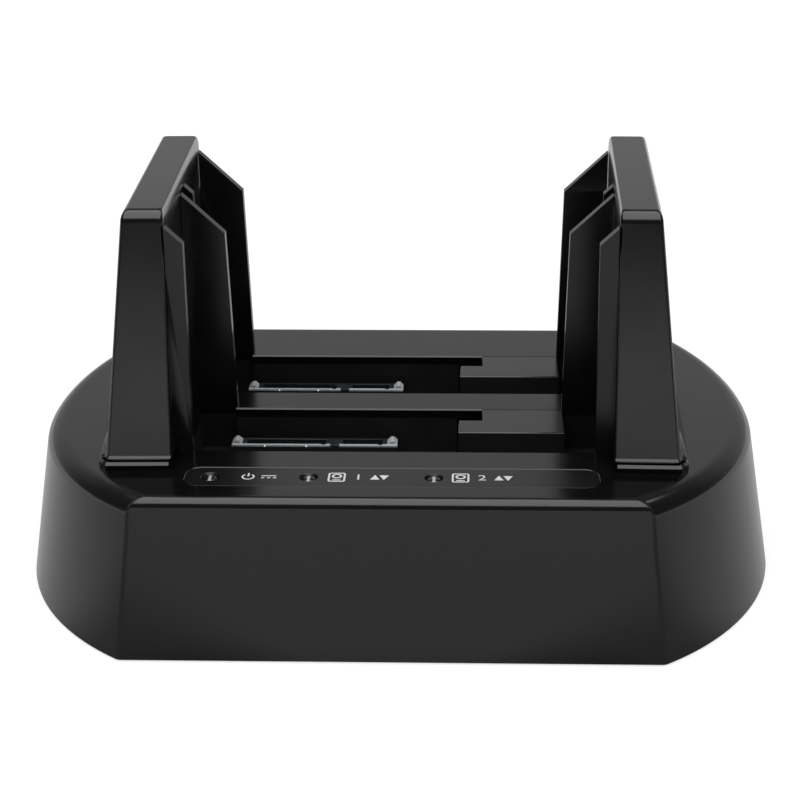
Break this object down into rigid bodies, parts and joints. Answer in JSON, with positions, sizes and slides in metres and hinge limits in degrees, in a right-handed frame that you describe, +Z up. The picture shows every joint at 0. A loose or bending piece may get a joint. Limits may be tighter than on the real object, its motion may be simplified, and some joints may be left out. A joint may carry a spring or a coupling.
{
  "type": "hard drive docking station",
  "caption": "Free-standing twin-bay hard drive dock: flared black base, side towers with drive guide fins, slots with drive receptacles and sprung size flaps, status lights and rear sockets.",
  "frame": {"origin": "on the table under the middle of the base, where the rubber feet rest", "axes": "+X to the right across the front, +Y towards the back, +Z up"},
  "size_m": [0.195, 0.124, 0.1033],
  "materials": {
    "housing_black": "satin moulded black",
    "inner_black": "fine matt black",
    "connector_grey": "smooth light grey",
    "contact_gold": "gold plated",
    "bright_steel": "bright plated",
    "board_green": "solder mask",
    "chip_black": "moulded epoxy",
    "can_aluminium": "drawn",
    "light_clear": "clear diffuse",
    "strip_black": "semi-gloss film",
    "tongue_blue": "moulded blue",
    "foot_rubber": "matt"
  },
  "bodies": {
    "dock": {"top_housing": "housing_black", "bottom_cover": "inner_black", "front_bay_well": "inner_black", "rear_bay_well": "inner_black", "left_tower_shell": "housing_black", "right_tower_shell": "housing_black", "left_drive_guide": "inner_black", "right_drive_guide": "inner_black", "front_flap_pin": "bright_steel", "rear_flap_pin": "bright_steel", "front_flap_spring": "bright_steel", "rear_flap_spring": "bright_steel", "front_drive_receptacle": "connector_grey", "rear_drive_receptacle": "connector_grey", "front_drive_contacts": "contact_gold", "rear_drive_contacts": "contact_gold", "main_circuit_board": "board_green", "bridge_chip": "chip_black", "capacitors": "can_aluminium", "status_leds": "light_clear", "power_light_guide": "light_clear", "front_drive_light_guide": "light_clear", "rear_drive_light_guide": "light_clear", "indicator_strip": "strip_black", "usb_socket": "bright_steel", "usb_tongue": "tongue_blue", "dc_jack": "chip_black", "dc_pin": "bright_steel", "power_switch": "chip_black", "rubber_feet": "foot_rubber", "cover_screws": "bright_steel", "tower_screws": "bright_steel", "board_screws": "bright_steel"},
    "front_flap": {"front_size_flap": "housing_black"},
    "rear_flap": {"rear_size_flap": "housing_black"},
    "button": {"power_button": "inner_black"}
  },
  "joints": [
    {"name": "front_flap_hinge", "type": "hinge", "parent": "dock", "child": "front_flap", "pos_m": [0.03, 0.0026, 0.036], "axis": [1, 0, 0], "range_deg": [0, 90], "stiffness_Nm_per_rad": 0.008, "springref_deg": -28.65, "deforming": ["front_flap_spring"]},
    {"name": "rear_flap_hinge", "type": "hinge", "parent": "dock", "child": "rear_flap", "pos_m": [0.03, 0.0405, 0.036], "axis": [1, 0, 0], "range_deg": [0, 90], "stiffness_Nm_per_rad": 0.008, "springref_deg": -28.65, "deforming": ["rear_flap_spring"]},
    {"name": "power_button_press", "type": "slide", "parent": "dock", "child": "button", "axis": [0, -1, 0], "range_m": [0, 0.0016], "stiffness_N_per_m": 400, "springref_m": -0.0008}
  ]
}
